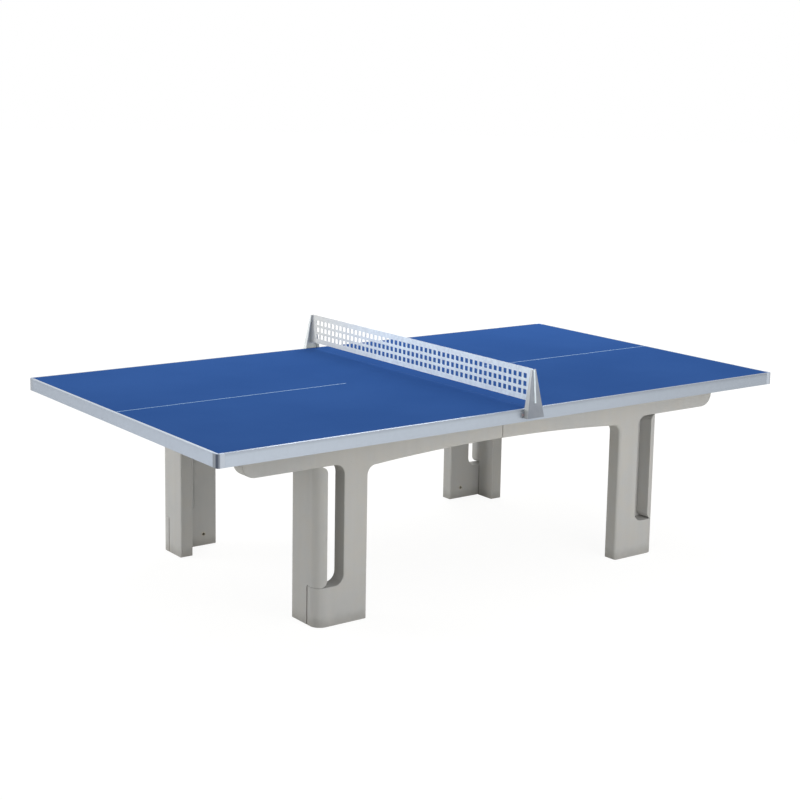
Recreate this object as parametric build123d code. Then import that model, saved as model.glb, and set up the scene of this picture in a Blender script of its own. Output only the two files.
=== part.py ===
from build123d import *
import os

# Outdoor table tennis table: cast side frames and end plates carry two coated
# slabs with an aluminium edge, and a perforated steel net drops into two brackets.
#
# Millimetres. +X runs along the table, +Y across it, +Z up. The origin lies on the
# floor under the middle of the net. Every quarter of the table is the same, so one
# quarter (+X, +Y) is modelled and mirrored.

# ---------------------------------------------------------------- whole table
LENGTH = 2740.0            # over the edge rails
WIDTH = 1525.0             # over the edge rails
HEIGHT = 760.0             # floor to playing surface
NET_RISE = 152.5           # playing surface to the net's top edge
RUNNING_GAP = 0.3          # between pieces that move past each other
CAST_FIT = 0.1             # around pieces set in a casting, and around threads

# ------------------------------------------------------------- playing slabs
SLAB_THICKNESS = 30.0
SLAB_JOINT = 2.0           # between the two slabs, under the net
REBATE_GAP = 0.3           # around the rail's lip
JOINT_PLATE = (200.0, 120.0, 6.0)
JOINT_SCREW_X = 60.0
JOINT_SCREW_Y = 36.0

# ----------------------------------------------------------------- edge rails
RAIL_HEIGHT = 50.0
RAIL_WALL = 3.0
RAIL_LIP = 10.0            # width of the lip round the playing surface
RAIL_SHELF = 28.0          # width of the shelf under the slab
RAIL_RETURN = 12.0         # width of the flange at the foot of the rail
RAIL_EDGE_ROUND = 1.2
RAIL_JOINT = 0.6           # between the long rails, behind the net bracket
SLAB_EDGE_GAP = 3.5        # between rail and slab, filled by the corner spigots
CORNER_LEG = 30.0
CORNER_ROUND = 12.0
CORNER_JOINT = 0.4         # between a corner and the rails that meet it
SPIGOT_LENGTH = 30.0
SPIGOT_GAP = 0.25
RAIL_SCREW_PITCH = 300.0
RAIL_SCREW_END = 90.0      # from the end of a rail to its first screw

# ---------------------------------------------------------------- side frames
FRAME_INSET = 165.5        # from the long edge of the table to the frame's face
FRAME_THICKNESS = 65.0
FRAME_JOINT = 3.0          # between the left and right frame
BEAM_DEPTH = 117.0         # at the net, where the portal is highest
BEAM_REACH = 1178.0        # from the net to the beam's outer end
BEAM_END_ROUND = 56.0
PORTAL_RISE = 26.0         # of the beam's arched underside, from the post to the net
PAD_THICKNESS = 6.0
PAD_MARGIN = 6.0           # from a pad to the edge of the casting under it
POST_INNER = 638.0         # from the net to the post
POST_WIDTH = 107.0
POST_BEAM_ROUND = 36.0
SLOT_WIDTH = 73.0          # opening between post and end plate
SLOT_ROUND = 40.0
TOE_HEIGHT = 150.0
LEG_CORNER_ROUND = 42.0    # outer upright edge of toe and tongue
TOE_SHOULDER_ROUND = 9.0
FRAME_FACE_ROUND = 4.0     # edge of the outward face along slot, toe and beam end
PORTAL_FACE_ROUND = 12.0   # edge of the outward face along the portal
FRAME_BACK_CHAMFER = 3.0

# ----------------------------------------------------------------- end plates
PLATE_THICKNESS = 55.0
PLATE_DEPTH = 171.0        # across the table, tongue included
PLATE_EDGE_ROUND = 7.0
TONGUE_WIDTH = 45.0
TONGUE_JOINT = 1.0         # between an end plate and the frame around it
TONGUE_CORNER_ROUND = 26.0

# ------------------------------------------------------------------ fastenings
SOCKET_DIAMETER = 20.0     # threaded sockets cast into frames, for M12
SOCKET_LENGTH = 30.0
SOCKET_FLOOR = 4.0
FRAME_BOLT = 12.0
SLAB_SOCKET_DIAMETER = 14.0
SLAB_SOCKET_LENGTH = 20.0
SLAB_SOCKET_FLOOR = 3.0
SLAB_SCREW = 8.0
SCREW_TIP_GAP = 2.0        # from the tip of a bolt to the floor of its socket
RAIL_SCREW = 4.0
RAIL_SCREW_LENGTH = 18.0
BRACKET_SCREW = 5.0
BRACKET_SCREW_LENGTH = 24.0
HOLE_CLEARANCE = 0.5       # added to the diameter of a bolt for its hole
HEX_WIDTH = 1.5            # of a bolt's head across its flats, in thread diameters
HEX_HEIGHT = 0.65          # in thread diameters, as are the next six
HEX_CROWN_CHAMFER = 0.06
PAN_WIDTH = 2.0
PAN_HEIGHT = 0.6
PAN_CROWN_ROUND = 0.3
PAN_DRIVE_WIDTH = 0.6
PAN_DRIVE_DEPTH = 0.3
RECESS_WIDTH = 2.0         # around a tie bolt's head, in thread diameters
GROUND_SOCKET_X = 699.0    # from the net to the ground fixing
GROUND_SOCKET_Z = 50.0
TIE_LOW_Z = 70.0
TIE_COUNTERBORE = 14.0     # depth of the recess for a tie bolt's head
TIE_PLUG_DEPTH = 5.0       # of the mortar that closes the recess
SPLICE_PLATE = (260.0, 70.0, 8.0)
SPLICE_BOLT_X = (45.0, 100.0)
ANGLE_LEG = 50.0
ANGLE_WALL = 5.0
ANGLE_LENGTH = 60.0
ANGLE_X = (260.0, 1060.0)
ANGLE_HOLE = 30.0          # from the heel of the angle to its holes

# ------------------------------------------------------------------------ net
NET_SHEET = 2.0
NET_FLOOR_GAP = 25.0       # under the net's lower edge
NET_HOLE = 20.0
NET_HOLE_ROUND = 2.0
NET_COLUMN_PITCH = 30.0
NET_ROW_PITCH = 31.5
NET_ROWS = 3
NET_TOP_MARGIN = 23.0
NET_END_MARGIN = 26.0
BRACKET_SHEET = 3.0
BRACKET_TOP_DROP = 2.5     # below the net's top edge
BRACKET_BASE_DROP = 34.0   # below the playing surface
BRACKET_BASE_HALF = 42.0
BRACKET_TOP_HALF = 10.0
BRACKET_BASE_DEPTH = 27.0
BRACKET_TOP_DEPTH = 8.5
BRACKET_EDGE_ROUND = 1.0
FLANGE_HALF = 52.0
FLANGE_HEIGHT = 26.0
FLANGE_SHEET = 4.0
FLANGE_CORNER_ROUND = 5.0
BRACKET_SCREW_X = 46.5
SLOT_IN_BRACKET = 9.5
SLOT_FLOOR_RISE = 22.0     # slot floor above the playing surface
BAR_STEM = 7.5
BAR_SHOULDER = 12.5
BAR_SHOULDER_DEPTH = 3.0
BAR_PROUD = 1.5            # end bar beyond the face of the bracket

# --------------------------------------------------------------- derived sizes
HALF_LENGTH = LENGTH / 2
HALF_WIDTH = WIDTH / 2
SLAB_BOTTOM = HEIGHT - SLAB_THICKNESS
SLAB_EDGE_INSET = RAIL_WALL + SLAB_EDGE_GAP
RAIL_BOTTOM = HEIGHT - RAIL_HEIGHT
RAIL_SCREW_INSET = (SLAB_EDGE_INSET + RAIL_SHELF) / 2
FRAME_TOP = SLAB_BOTTOM - PAD_THICKNESS
BEAM_BOTTOM = FRAME_TOP - BEAM_DEPTH
PORTAL_SIDE = BEAM_BOTTOM - PORTAL_RISE
FACE_Y = HALF_WIDTH - FRAME_INSET
BACK_Y = FACE_Y - FRAME_THICKNESS
POST_OUTER = POST_INNER + POST_WIDTH
TONGUE_INNER = POST_OUTER + SLOT_WIDTH
PLATE_OUTER = TONGUE_INNER + TONGUE_WIDTH
PLATE_INNER = PLATE_OUTER - PLATE_THICKNESS
PLATE_MIDDLE = (PLATE_INNER + PLATE_OUTER) / 2
PLATE_EDGE_Y = FACE_Y - PLATE_DEPTH
RECESS_DIAMETER = RECESS_WIDTH * FRAME_BOLT + HOLE_CLEARANCE
BEAM_MIDDLE = (BEAM_BOTTOM + FRAME_TOP) / 2
NET_TOP = HEIGHT + NET_RISE
NET_BOTTOM = HEIGHT + NET_FLOOR_GAP
BRACKET_TOP = NET_TOP - BRACKET_TOP_DROP
BRACKET_BASE = HEIGHT - BRACKET_BASE_DROP
FLANGE_TOP = BRACKET_BASE + FLANGE_HEIGHT
FLANGE_MIDDLE = BRACKET_BASE + FLANGE_HEIGHT / 2
SLOT_FLOOR = HEIGHT + SLOT_FLOOR_RISE
BAR_BOTTOM = SLOT_FLOOR + RUNNING_GAP
BAR_TOP = BRACKET_TOP - RUNNING_GAP
BAR_BACK = HALF_WIDTH + RUNNING_GAP
BAR_STEM_BACK = BAR_BACK + BAR_SHOULDER_DEPTH

X_SIDES = {"left": -1, "right": 1}
Y_SIDES = {"front": -1, "rear": 1}


# ------------------------------------------------------------------- helpers
def block(x0, x1, y0, y1, z0, z1):
    """Box between two opposite corners."""
    middle = Pos((x0 + x1) / 2, (y0 + y1) / 2, (z0 + z1) / 2)
    return middle * Box(x1 - x0, y1 - y0, z1 - z0)


def rod(diameter, length):
    """Cylinder from the origin down to -length along Z."""
    return Pos(0, 0, -length / 2) * Cylinder(diameter / 2, length)


def mirrored(shape, x_side, y_side):
    """Move a piece of the +X +Y quarter to the quarter with the given signs."""
    if x_side < 0:
        shape = mirror(shape, about=Plane.YZ)
    if y_side < 0:
        shape = mirror(shape, about=Plane.XZ)
    return shape


def all_quarters(shapes):
    """The given pieces repeated in the four quarters, as one group."""
    sides = [(x, y) for x in X_SIDES.values() for y in Y_SIDES.values()]
    return Compound(children=[mirrored(s, x, y) for x, y in sides for s in shapes])


def save(name, shape):
    """Write one node to parts/NAME.step."""
    export_step(shape, f"parts/{name}.step")


# --------------------------------------------------------------- fastenings
# Every fastening is made pointing down: its face at Z 0, its length below.
def socket(diameter, length, thread, floor):
    """Threaded socket with a closed end."""
    bore = rod(thread + 2 * CAST_FIT, length - floor)
    return rod(diameter, length) - bore


def hex_bolt(thread, length):
    """Hexagon bolt with its head above Z 0."""
    hexagon = RegularPolygon(HEX_WIDTH * thread / 2, 6, major_radius=False)
    head = extrude(hexagon, HEX_HEIGHT * thread)
    crown = head.edges().group_by(Axis.Z)[-1]
    return chamfer(crown, HEX_CROWN_CHAMFER * thread) + rod(thread, length)


def pan_screw(thread, length):
    """Screw with a low round head above Z 0."""
    height = PAN_HEIGHT * thread
    head = Pos(0, 0, height) * rod(PAN_WIDTH * thread, height)
    crown = head.edges().group_by(Axis.Z)[-1]
    drive = Pos(0, 0, height) * rod(PAN_DRIVE_WIDTH * thread, PAN_DRIVE_DEPTH * thread)
    return fillet(crown, PAN_CROWN_ROUND * thread) - drive + rod(thread, length)


def into_frame(x, z, y=BACK_Y):
    """Place of a fastening that enters a side frame's back at x, z."""
    return Pos(x, y, z) * Rot(X=90)


def into_slab(x, y, z=SLAB_BOTTOM):
    """Place of a fastening that enters a slab from below at x, y."""
    return Pos(x, y, z) * Rot(X=180)


def into_edge(x, z, y=HALF_WIDTH):
    """Place of a fastening that enters the table's long edge at x, z."""
    return Pos(x, y, z) * Rot(X=-90)


SOCKET_HOLE = rod(SOCKET_DIAMETER + 2 * CAST_FIT, SOCKET_LENGTH)
SLAB_SOCKET_HOLE = rod(SLAB_SOCKET_DIAMETER + 2 * CAST_FIT, SLAB_SOCKET_LENGTH)
FRAME_SOCKET = socket(SOCKET_DIAMETER, SOCKET_LENGTH, FRAME_BOLT, SOCKET_FLOOR)
SLAB_SOCKET = socket(SLAB_SOCKET_DIAMETER, SLAB_SOCKET_LENGTH, SLAB_SCREW, SLAB_SOCKET_FLOOR)
EDGE_SOCKET_LENGTH = (BRACKET_SCREW_LENGTH - FLANGE_SHEET - SLAB_EDGE_INSET
                      + SCREW_TIP_GAP + SLAB_SOCKET_FLOOR)
EDGE_SOCKET_DIAMETER = 2 * BRACKET_SCREW
EDGE_SOCKET = socket(EDGE_SOCKET_DIAMETER, EDGE_SOCKET_LENGTH, BRACKET_SCREW, SLAB_SOCKET_FLOOR)
EDGE_SOCKET_HOLE = rod(EDGE_SOCKET_DIAMETER + 2 * CAST_FIT, EDGE_SOCKET_LENGTH)

ANGLE_SLAB_Y = BACK_Y - ANGLE_HOLE
ANGLE_BOLT_Z = SLAB_BOTTOM - ANGLE_HOLE
SPLICE_PLACES = [into_frame(x, BEAM_MIDDLE) for x in SPLICE_BOLT_X]
ANGLE_PLACES = [into_frame(x, ANGLE_BOLT_Z) for x in ANGLE_X]
TIE_PLACES = [into_frame(PLATE_MIDDLE, z) for z in (TIE_LOW_Z, BEAM_MIDDLE)]
GROUND_PLACE = into_frame(GROUND_SOCKET_X, GROUND_SOCKET_Z)
ANGLE_SLAB_PLACES = [into_slab(x, ANGLE_SLAB_Y) for x in ANGLE_X]
JOINT_PLACE = into_slab(JOINT_SCREW_X, JOINT_SCREW_Y)


def evenly_spaced(first, last):
    """Screw places from first to last, no further apart than the rail pitch."""
    steps = int((last - first) // RAIL_SCREW_PITCH) + 1
    return [first + (last - first) * i / steps for i in range(steps + 1)]


LONG_RAIL_START = RAIL_JOINT / 2
LONG_RAIL_END = HALF_LENGTH - CORNER_LEG - CORNER_JOINT
END_RAIL_HALF = HALF_WIDTH - CORNER_LEG - CORNER_JOINT
LONG_SCREW_X = evenly_spaced(LONG_RAIL_START + RAIL_SCREW_END, LONG_RAIL_END - RAIL_SCREW_END)
END_SCREW_Y = evenly_spaced(RAIL_SCREW_END - END_RAIL_HALF, END_RAIL_HALF - RAIL_SCREW_END)
RAIL_SCREW_POINTS = [(x, side * (HALF_WIDTH - RAIL_SCREW_INSET))
                     for x in LONG_SCREW_X for side in Y_SIDES.values()]
RAIL_SCREW_POINTS += [(HALF_LENGTH - RAIL_SCREW_INSET, y) for y in END_SCREW_Y]


# ------------------------------------------------------------ slabs and rails
def slab():
    """Right-hand slab, rebated along three edges for the lip of the rail."""
    edge_x = HALF_LENGTH - SLAB_EDGE_INSET
    edge_y = HALF_WIDTH - SLAB_EDGE_INSET
    lip = RAIL_LIP + REBATE_GAP
    rebate_floor = HEIGHT - RAIL_WALL - REBATE_GAP
    lower = block(SLAB_JOINT / 2, edge_x, -edge_y, edge_y, SLAB_BOTTOM, rebate_floor)
    upper = block(SLAB_JOINT / 2, HALF_LENGTH - lip, lip - HALF_WIDTH, HALF_WIDTH - lip,
                  rebate_floor, HEIGHT)
    body = lower + upper
    for y_side in Y_SIDES.values():
        for place in ANGLE_SLAB_PLACES + [JOINT_PLACE]:
            body -= mirrored(place * SLAB_SOCKET_HOLE, 1, y_side)
        edge_place = into_edge(BRACKET_SCREW_X, FLANGE_MIDDLE, HALF_WIDTH - SLAB_EDGE_INSET)
        body -= mirrored(edge_place * EDGE_SOCKET_HOLE, 1, y_side)
    pilot = rod(RAIL_SCREW + 2 * CAST_FIT, RAIL_SCREW_LENGTH)
    for x, y in RAIL_SCREW_POINTS:
        body -= into_slab(x, y) * pilot
    return body


def rail_section():
    """Section of the edge rail: X inwards from the table's edge, Y up from the floor."""
    shelf_bottom = SLAB_BOTTOM - RAIL_WALL
    outline = Polyline(
        (0, RAIL_BOTTOM), (0, HEIGHT), (RAIL_LIP, HEIGHT), (RAIL_LIP, HEIGHT - RAIL_WALL),
        (RAIL_WALL, HEIGHT - RAIL_WALL), (RAIL_WALL, SLAB_BOTTOM), (RAIL_SHELF, SLAB_BOTTOM),
        (RAIL_SHELF, shelf_bottom), (RAIL_WALL, shelf_bottom),
        (RAIL_WALL, RAIL_BOTTOM + RAIL_WALL), (RAIL_RETURN, RAIL_BOTTOM + RAIL_WALL),
        (RAIL_RETURN, RAIL_BOTTOM), close=True)
    section = make_face(outline)
    outer_corners = section.vertices().group_by(Axis.X)[0]
    return fillet(outer_corners, RAIL_EDGE_ROUND)


def rail_along(start, inwards, direction, length):
    """Rail from a start point on the table's edge, in the given direction."""
    plane = Plane(origin=start, x_dir=inwards, z_dir=direction)
    return extrude(plane * rail_section(), length)


def drilled_for_rail_screws(rail):
    """Rail with a hole in its shelf for each screw that passes through it."""
    hole = rod(RAIL_SCREW + HOLE_CLEARANCE, RAIL_WALL)
    for x, y in RAIL_SCREW_POINTS:
        rail -= into_slab(x, y, SLAB_BOTTOM - RAIL_WALL) * hole
    return rail


def long_rail():
    """Rail along the rear edge, from the net to the right-hand corner."""
    start = (LONG_RAIL_END, HALF_WIDTH, 0)
    rail = rail_along(start, (0, -1, 0), (-1, 0, 0), LONG_RAIL_END - LONG_RAIL_START)
    bracket_hole = rod(BRACKET_SCREW + HOLE_CLEARANCE, RAIL_WALL)
    rail -= into_edge(BRACKET_SCREW_X, FLANGE_MIDDLE) * bracket_hole
    return drilled_for_rail_screws(rail)


def end_rail():
    """Rail across the right-hand end, between two corners."""
    start = (HALF_LENGTH, -END_RAIL_HALF, 0)
    rail = rail_along(start, (-1, 0, 0), (0, 1, 0), 2 * END_RAIL_HALF)
    return drilled_for_rail_screws(rail)


def corner_layer(bottom, top):
    """Square layer of a corner with its outer edge rounded."""
    middle = Pos(HALF_LENGTH - CORNER_LEG / 2, HALF_WIDTH - CORNER_LEG / 2)
    square = middle * Rectangle(CORNER_LEG, CORNER_LEG)
    outer_vertex = square.vertices().sort_by_distance((HALF_LENGTH, HALF_WIDTH))[0]
    return Pos(0, 0, bottom) * extrude(fillet(outer_vertex, CORNER_ROUND), top - bottom)


def corner_ring(width, bottom, top):
    """Layer of a corner that is only as wide as given, along the two outer sides."""
    inside = block(HALF_LENGTH - CORNER_LEG, HALF_LENGTH - width,
                   HALF_WIDTH - CORNER_LEG, HALF_WIDTH - width, bottom, top)
    return corner_layer(bottom, top) - inside


def corner():
    """Cast corner with two spigots that slide behind the walls of the rails."""
    wall = SLAB_EDGE_INSET - SPIGOT_GAP
    body = corner_ring(wall, RAIL_BOTTOM, HEIGHT)
    body += corner_ring(RAIL_LIP, HEIGHT - RAIL_WALL, HEIGHT)
    body += corner_layer(SLAB_BOTTOM - RAIL_WALL, SLAB_BOTTOM)
    inner = RAIL_WALL + SPIGOT_GAP
    reach = CORNER_LEG + SPIGOT_LENGTH
    bottom = SLAB_BOTTOM + SPIGOT_GAP
    top = HEIGHT - RAIL_WALL - SPIGOT_GAP
    body += block(HALF_LENGTH - reach, HALF_LENGTH - CORNER_LEG,
                  HALF_WIDTH - wall, HALF_WIDTH - inner, bottom, top)
    body += block(HALF_LENGTH - wall, HALF_LENGTH - inner,
                  HALF_WIDTH - reach, HALF_WIDTH - CORNER_LEG, bottom, top)
    return body


def joint_plate():
    """Plate under the joint that holds the two slabs level."""
    length, width, thickness = JOINT_PLATE
    plate = block(-length / 2, length / 2, -width / 2, width / 2,
                  SLAB_BOTTOM - thickness, SLAB_BOTTOM)
    hole = rod(SLAB_SCREW + HOLE_CLEARANCE, thickness)
    for x_side in X_SIDES.values():
        for y_side in Y_SIDES.values():
            place = into_slab(JOINT_SCREW_X, JOINT_SCREW_Y, SLAB_BOTTOM - thickness)
            plate -= mirrored(place * hole, x_side, y_side)
    return plate


# ---------------------------------------------------- side frames, end plates
def rounded(face, corners):
    """Face with each listed corner point rounded to its radius."""
    for point, radius in corners.items():
        face = fillet(face.vertices().sort_by_distance(point)[0], radius)
    return face


def frame_outline():
    """Elevation of the right-hand side frame: beam, post and toe."""
    crown = (FRAME_JOINT / 2, BEAM_BOTTOM)
    springing = (POST_INNER, PORTAL_SIDE)
    underside = TangentArc(crown, springing, tangent=(1, 0))
    face = make_face([underside, Polyline(
        springing, (POST_INNER, 0), (PLATE_OUTER, 0), (PLATE_OUTER, TOE_HEIGHT),
        (POST_OUTER, TOE_HEIGHT), (POST_OUTER, BEAM_BOTTOM), (BEAM_REACH, BEAM_BOTTOM),
        (BEAM_REACH, FRAME_TOP), (FRAME_JOINT / 2, FRAME_TOP), crown)])
    return rounded(face, {
        springing: POST_BEAM_ROUND,
        (POST_OUTER, TOE_HEIGHT): SLOT_ROUND,
        (POST_OUTER, BEAM_BOTTOM): SLOT_ROUND,
        (BEAM_REACH, BEAM_BOTTOM): BEAM_END_ROUND,
    })


def toe_shoulder():
    """Waste outside the rounded back edge of the toe, beside the end plate."""
    radius = TOE_SHOULDER_ROUND
    start = POST_OUTER + SLOT_ROUND
    square = block(start, PLATE_OUTER, BACK_Y, BACK_Y + radius, TOE_HEIGHT - radius, TOE_HEIGHT)
    round_bar = Pos((start + PLATE_OUTER) / 2, BACK_Y + radius, TOE_HEIGHT - radius) * Rot(
        Y=90) * Cylinder(radius, PLATE_OUTER - start)
    return square - round_bar


def side_frame():
    """Cast side frame of one quarter, with holes for its cast-in sockets.

    The round on each edge of the post runs on along beam and toe.
    """
    plane = Plane(origin=(0, FACE_Y, 0), x_dir=(1, 0, 0), z_dir=(0, -1, 0))
    body = extrude(plane * frame_outline(), FRAME_THICKNESS)
    toe_edge = body.edges().sort_by_distance((PLATE_OUTER, FACE_Y, TOE_HEIGHT / 2))[0]
    body = fillet(toe_edge, LEG_CORNER_ROUND)
    body = chamfer(body.faces().sort_by(Axis.Y)[0].edges(), FRAME_BACK_CHAMFER)
    slot_middle = (TOE_HEIGHT + BEAM_BOTTOM) / 2
    for x, z, radius in ((POST_INNER, PORTAL_SIDE / 2, PORTAL_FACE_ROUND),
                         (POST_OUTER, slot_middle, FRAME_FACE_ROUND)):
        post_edge = body.edges().sort_by_distance((x, FACE_Y, z))[0]
        body = fillet(post_edge, radius)
    body -= toe_shoulder()
    for place in SPLICE_PLACES + ANGLE_PLACES + TIE_PLACES + [GROUND_PLACE]:
        body -= place * SOCKET_HOLE
    return body


def tongue():
    """Part of the end plate that stands between toe and beam, flush with the frame."""
    bottom = TOE_HEIGHT + TONGUE_JOINT
    top = BEAM_BOTTOM - TONGUE_JOINT
    back = BACK_Y - TONGUE_JOINT
    outline = make_face(Polyline((TONGUE_INNER, bottom), (PLATE_OUTER, bottom),
                                 (PLATE_OUTER, top), (TONGUE_INNER, top), close=True))
    outline = rounded(outline, {(TONGUE_INNER, bottom): TONGUE_CORNER_ROUND,
                                (TONGUE_INNER, top): TONGUE_CORNER_ROUND})
    plane = Plane(origin=(0, FACE_Y, 0), x_dir=(1, 0, 0), z_dir=(0, -1, 0))
    body = extrude(plane * outline, FACE_Y - back)
    outer_edge = body.edges().sort_by_distance((PLATE_OUTER, FACE_Y, (bottom + top) / 2))[0]
    return fillet(outer_edge, LEG_CORNER_ROUND)


def end_plate():
    """Cast end plate of one quarter, bored for the two bolts that tie it to the frame."""
    back = BACK_Y - TONGUE_JOINT
    body = block(PLATE_INNER, PLATE_OUTER, PLATE_EDGE_Y, back, 0, FRAME_TOP)
    body = fillet(body.faces().sort_by(Axis.Y)[0].edges(), PLATE_EDGE_ROUND)
    body += tongue()
    recess = rod(RECESS_DIAMETER, TIE_COUNTERBORE)
    hole = rod(FRAME_BOLT + HOLE_CLEARANCE, back - PLATE_EDGE_Y)
    for z in (TIE_LOW_Z, BEAM_MIDDLE):
        place = into_frame(PLATE_MIDDLE, z, PLATE_EDGE_Y)
        body -= place * recess
        body -= place * hole
    return body


def frame_pad():
    """Rubber strip between the beam and the slab."""
    return block(FRAME_JOINT / 2 + PAD_MARGIN, BEAM_REACH - PAD_MARGIN,
                 BACK_Y + PAD_MARGIN, FACE_Y - PAD_MARGIN, FRAME_TOP, SLAB_BOTTOM)


def plate_pad():
    """Rubber strip between an end plate and the slab."""
    return block(PLATE_INNER + PAD_MARGIN, PLATE_OUTER - PAD_MARGIN, PLATE_EDGE_Y + PAD_MARGIN,
                 BACK_Y - TONGUE_JOINT - PAD_MARGIN, FRAME_TOP, SLAB_BOTTOM)


def splice_plate():
    """Steel plate across the joint between two side frames."""
    length, height, thickness = SPLICE_PLATE
    plate = block(-length / 2, length / 2, BACK_Y - thickness, BACK_Y,
                  BEAM_MIDDLE - height / 2, BEAM_MIDDLE + height / 2)
    hole = rod(FRAME_BOLT + HOLE_CLEARANCE, thickness)
    for x in SPLICE_BOLT_X:
        for x_side in X_SIDES.values():
            plate -= into_frame(x_side * x, BEAM_MIDDLE, BACK_Y - thickness) * hole
    return plate


def slab_angle(x):
    """Steel angle at x that ties a slab to the back of a beam."""
    low_x = x - ANGLE_LENGTH / 2
    high_x = x + ANGLE_LENGTH / 2
    angle = block(low_x, high_x, BACK_Y - ANGLE_WALL, BACK_Y, SLAB_BOTTOM - ANGLE_LEG, SLAB_BOTTOM)
    angle += block(low_x, high_x, BACK_Y - ANGLE_LEG, BACK_Y, SLAB_BOTTOM - ANGLE_WALL, SLAB_BOTTOM)
    frame_hole = rod(FRAME_BOLT + HOLE_CLEARANCE, ANGLE_WALL)
    slab_hole = rod(SLAB_SCREW + HOLE_CLEARANCE, ANGLE_WALL)
    angle -= into_frame(x, ANGLE_BOLT_Z, BACK_Y - ANGLE_WALL) * frame_hole
    angle -= into_slab(x, ANGLE_SLAB_Y, SLAB_BOTTOM - ANGLE_WALL) * slab_hole
    return angle


# ------------------------------------------------------------------------ net
def bracket_depth(z):
    """Distance from the rail to the outer face of the bracket at height z."""
    share = (BRACKET_TOP - z) / (BRACKET_TOP - BRACKET_BASE)
    return BRACKET_TOP_DEPTH + share * (BRACKET_BASE_DEPTH - BRACKET_TOP_DEPTH)


def bracket_prism(shrink):
    """Tapered prism against the rear rail, smaller than the bracket by shrink."""
    base_half = BRACKET_BASE_HALF - shrink
    top_half = BRACKET_TOP_HALF - shrink
    base_depth = BRACKET_BASE_DEPTH - shrink
    top_depth = BRACKET_TOP_DEPTH - shrink
    front_plane = Plane(origin=(0, HALF_WIDTH, 0), x_dir=(1, 0, 0), z_dir=(0, -1, 0))
    elevation = make_face(Polyline(
        (-base_half, BRACKET_BASE), (base_half, BRACKET_BASE),
        (top_half, BRACKET_TOP), (-top_half, BRACKET_TOP), close=True))
    profile = make_face(Polyline(
        (HALF_WIDTH, BRACKET_BASE), (HALF_WIDTH + base_depth, BRACKET_BASE),
        (HALF_WIDTH + top_depth, BRACKET_TOP), (HALF_WIDTH, BRACKET_TOP), close=True))
    seen_from_front = extrude(front_plane * elevation, -base_depth)
    seen_from_side = extrude(Plane.YZ * profile, base_half, both=True)
    return seen_from_front & seen_from_side


def net_bracket():
    """Folded steel bracket on the rear rail, slotted from the top for the net."""
    outer = bracket_prism(0)
    outer = fillet(outer.faces().sort_by(Axis.Y)[-1].edges(), BRACKET_EDGE_ROUND)
    flange = block(-FLANGE_HALF, FLANGE_HALF, HALF_WIDTH, HALF_WIDTH + FLANGE_SHEET,
                   BRACKET_BASE, FLANGE_TOP)
    flange = fillet(flange.edges().filter_by(Axis.Y), FLANGE_CORNER_ROUND)
    hole = rod(BRACKET_SCREW + HOLE_CLEARANCE, FLANGE_SHEET)
    body = outer - bracket_prism(BRACKET_SHEET) + flange
    body -= block(-SLOT_IN_BRACKET / 2, SLOT_IN_BRACKET / 2, HALF_WIDTH,
                  HALF_WIDTH + BRACKET_BASE_DEPTH, SLOT_FLOOR, BRACKET_TOP)
    for x_side in X_SIDES.values():
        place = into_edge(x_side * BRACKET_SCREW_X, FLANGE_MIDDLE, HALF_WIDTH + FLANGE_SHEET)
        body -= place * hole
    return body


def net_panel():
    """Perforated steel sheet, its rows and columns of square holes centred on the table."""
    length = 2 * BAR_BACK
    height = NET_TOP - NET_BOTTOM
    columns = int((length - 2 * NET_END_MARGIN - NET_HOLE) // NET_COLUMN_PITCH) + 1
    first_row = height / 2 - NET_TOP_MARGIN - NET_HOLE / 2
    middle_row = first_row - (NET_ROWS - 1) * NET_ROW_PITCH / 2
    holes = Pos(0, middle_row) * GridLocations(
        NET_COLUMN_PITCH, NET_ROW_PITCH, columns, NET_ROWS) * RectangleRounded(
        NET_HOLE, NET_HOLE, NET_HOLE_ROUND)
    sheet = Rectangle(length, height) - holes
    middle = (-NET_SHEET / 2, 0, (NET_TOP + NET_BOTTOM) / 2)
    plane = Plane(origin=middle, x_dir=(0, 1, 0), z_dir=(1, 0, 0))
    return extrude(plane * sheet, NET_SHEET)


def net_end_bar():
    """Bar welded to the rear end of the net: a stem in the slot, a shoulder behind it."""
    foot_y = HALF_WIDTH + bracket_depth(BAR_BOTTOM) + BAR_PROUD
    head_y = HALF_WIDTH + bracket_depth(BAR_TOP) + BAR_PROUD
    profile = make_face(Polyline((BAR_STEM_BACK, BAR_BOTTOM), (foot_y, BAR_BOTTOM),
                                 (head_y, BAR_TOP), (BAR_STEM_BACK, BAR_TOP), close=True))
    stem = extrude(Plane.YZ * profile, BAR_STEM / 2, both=True)
    shoulder = block(-BAR_SHOULDER / 2, BAR_SHOULDER / 2, BAR_BACK, BAR_STEM_BACK,
                     BAR_BOTTOM, BAR_TOP)
    return stem + shoulder


# --------------------------------------------------------------- all the nodes
def bolt_length(grip):
    """Length of a bolt that holds a given thickness to a frame socket."""
    return grip + SOCKET_LENGTH - SOCKET_FLOOR - SCREW_TIP_GAP


def slab_screw_length(grip):
    """Length of a screw that holds a given thickness to a slab socket."""
    return grip + SLAB_SOCKET_LENGTH - SLAB_SOCKET_FLOOR - SCREW_TIP_GAP


def save_quarter_pieces():
    """Pieces of which each quarter of the table has one node."""
    pieces = {
        "long_rail": long_rail(),
        "corner": corner(),
        "side_frame": side_frame(),
        "end_plate": end_plate(),
        "frame_pad": frame_pad(),
        "plate_pad": plate_pad(),
    }
    angles = [slab_angle(x) for x in ANGLE_X]
    for y_name, y_side in Y_SIDES.items():
        for x_name, x_side in X_SIDES.items():
            for name, piece in pieces.items():
                save(f"{name}_{y_name}_{x_name}", mirrored(piece, x_side, y_side))
            pair = Compound(children=[mirrored(a, x_side, y_side) for a in angles])
            save(f"slab_angles_{y_name}_{x_name}", pair)


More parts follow.
